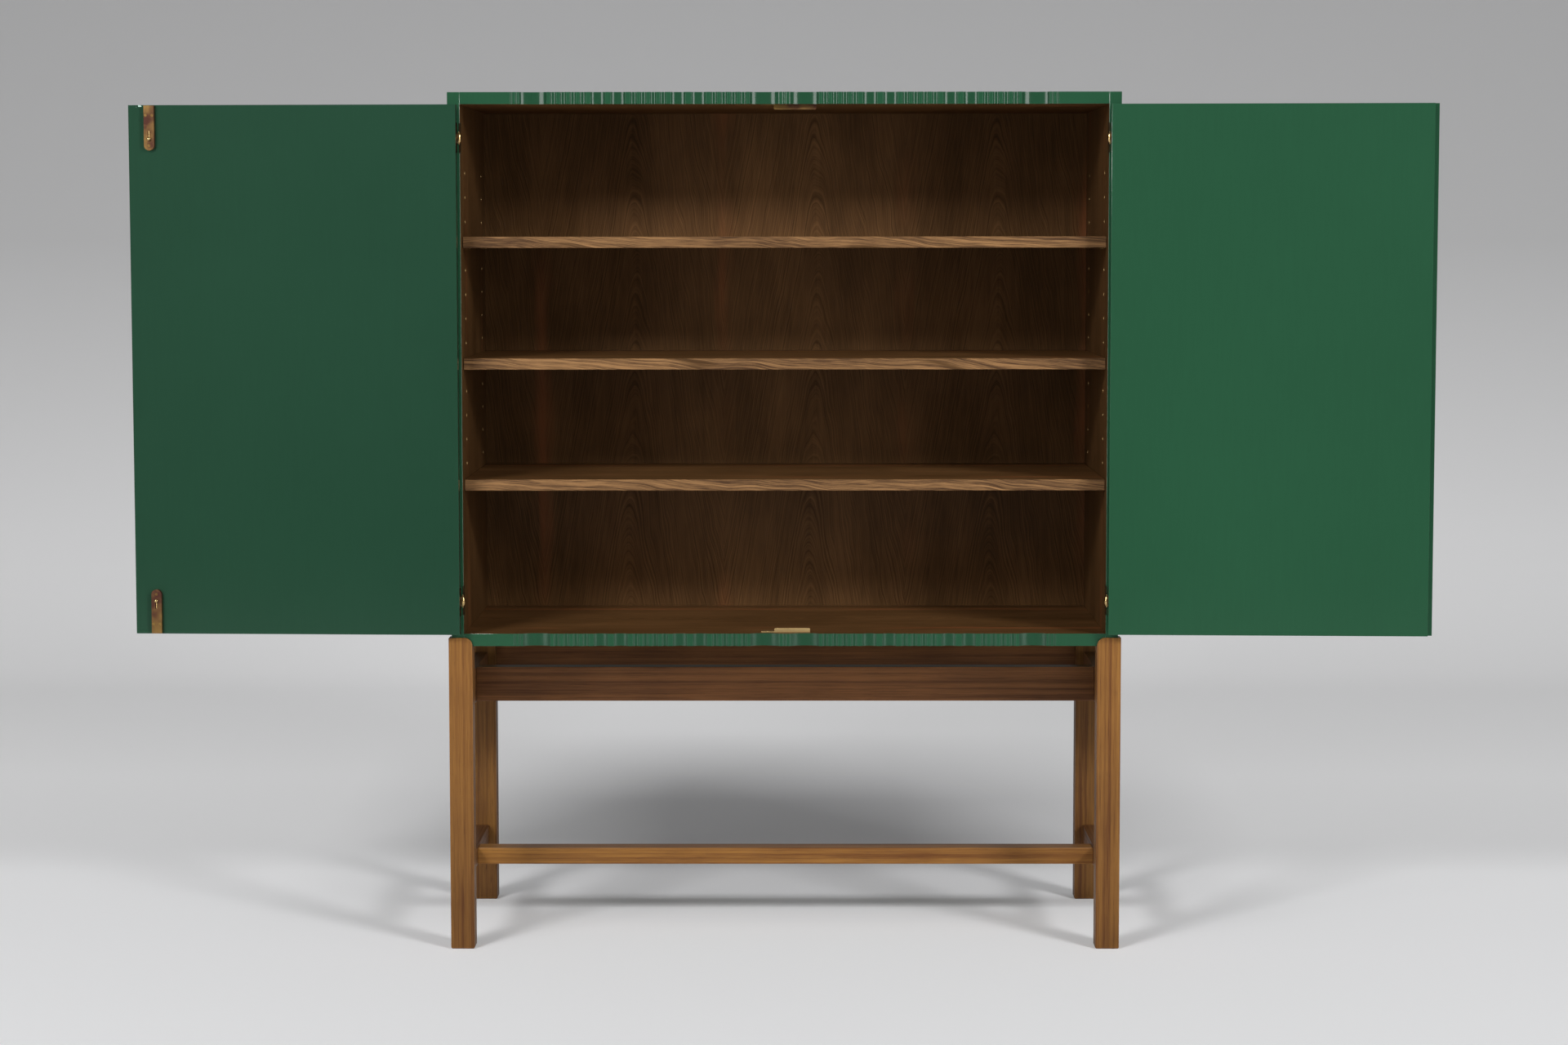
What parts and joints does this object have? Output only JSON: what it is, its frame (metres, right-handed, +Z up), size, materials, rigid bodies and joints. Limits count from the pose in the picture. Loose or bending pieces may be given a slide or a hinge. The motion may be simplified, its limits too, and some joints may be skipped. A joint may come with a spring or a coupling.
{
  "type": "storage cabinet",
  "caption": "Two-door storage cabinet with fluted inset fronts and shelves, resting in the leg tops of an open stand.",
  "frame": {"origin": "on the floor, at the middle of the four legs", "axes": "+X to the right seen from the front, front at -Y, +Z up; the doors are stored open as in use"},
  "size_m": [2.2829, 0.552, 1.518],
  "materials": {
    "green_lacquer": "satin lacquer",
    "dark_veneer": "oiled veneer",
    "stand_wood": "satin oil",
    "rail_wood": "satin oil",
    "aged_brass": "aged",
    "steel": "satin"
  },
  "bodies": {
    "cabinet": {"back_panel": "dark_veneer", "bottom_stop": "steel", "case_bottom": "green_lacquer", "case_dowels": "rail_wood", "case_hinge_screws": "steel", "case_left_side": "green_lacquer", "case_right_side": "green_lacquer", "case_top": "green_lacquer", "front_left_leg": "stand_wood", "front_right_leg": "stand_wood", "hinge_pins": "steel", "left_lower_case_leaf": "aged_brass", "left_upper_case_leaf": "aged_brass", "low_left_stretcher": "rail_wood", "low_middle_stretcher": "rail_wood", "low_right_stretcher": "rail_wood", "pin_sleeves": "aged_brass", "rear_left_leg": "stand_wood", "rear_right_leg": "stand_wood", "right_lower_case_leaf": "aged_brass", "right_upper_case_leaf": "aged_brass", "shelf_pins": "aged_brass", "stop_screws": "steel", "top_stop": "steel", "upper_left_rail": "rail_wood", "upper_middle_rail": "rail_wood", "upper_rear_rail": "rail_wood", "upper_right_rail": "rail_wood"},
    "left_door_body": {"left_door": "green_lacquer", "left_door_hinge_screws": "steel", "left_lower_door_leaf": "aged_brass", "left_upper_door_leaf": "aged_brass", "top_bolt_housing": "aged_brass", "bottom_bolt_housing": "aged_brass", "bolt_screws": "steel", "strike_plate": "steel", "strike_screws": "steel"},
    "right_door_body": {"right_door": "green_lacquer", "right_door_hinge_screws": "steel", "right_lower_door_leaf": "aged_brass", "right_upper_door_leaf": "aged_brass", "lock_case": "steel", "lock_screws": "steel"},
    "top_bolt_body": {"top_bolt": "aged_brass"},
    "bottom_bolt_body": {"bottom_bolt": "aged_brass"},
    "lock_bolt_body": {"lock_bolt": "steel"},
    "key_body": {"key": "aged_brass"},
    "top_shelf_body": {"top_shelf_board": "dark_veneer"},
    "middle_shelf_body": {"middle_shelf_board": "dark_veneer"},
    "bottom_shelf_body": {"bottom_shelf_board": "dark_veneer"}
  },
  "joints": [
    {"name": "left_door_swing", "type": "hinge", "parent": "cabinet", "child": "left_door_body", "pos_m": [-0.569, -0.2493, 1.031], "axis": [0, 0, 1], "range_deg": [-17.4, 182.6]},
    {"name": "right_door_swing", "type": "hinge", "parent": "cabinet", "child": "right_door_body", "pos_m": [0.569, -0.2493, 1.031], "axis": [0, 0, -1], "range_deg": [-22.6, 177.4]},
    {"name": "top_bolt_slide", "type": "slide", "parent": "left_door_body", "child": "top_bolt_body", "axis": [0, 0, 1], "range_m": [0, 0.012]},
    {"name": "bottom_bolt_slide", "type": "slide", "parent": "left_door_body", "child": "bottom_bolt_body", "axis": [0, 0, -1], "range_m": [0, 0.012]},
    {"name": "key_turn", "type": "hinge", "parent": "right_door_body", "child": "key_body", "pos_m": [1.10071, -0.27875, 1.031], "axis": [-0.0454, -0.999, 0], "range_deg": [0, 180]},
    {"name": "lock_bolt_slide", "type": "slide", "parent": "right_door_body", "child": "lock_bolt_body", "axis": [0.999, -0.0454, 0], "range_m": [0, 0.01]},
    {"name": "top_shelf_slide", "type": "slide", "parent": "cabinet", "child": "top_shelf_body", "axis": [0, 1, 0], "range_m": [-0.15, 0]},
    {"name": "middle_shelf_slide", "type": "slide", "parent": "cabinet", "child": "middle_shelf_body", "axis": [0, 1, 0], "range_m": [-0.15, 0]},
    {"name": "bottom_shelf_slide", "type": "slide", "parent": "cabinet", "child": "bottom_shelf_body", "axis": [0, 1, 0], "range_m": [-0.15, 0]}
  ],
  "couplings": [
    {"joint": "key_turn", "follows": "lock_bolt_slide", "rad_per_m": 314.16}
  ]
}
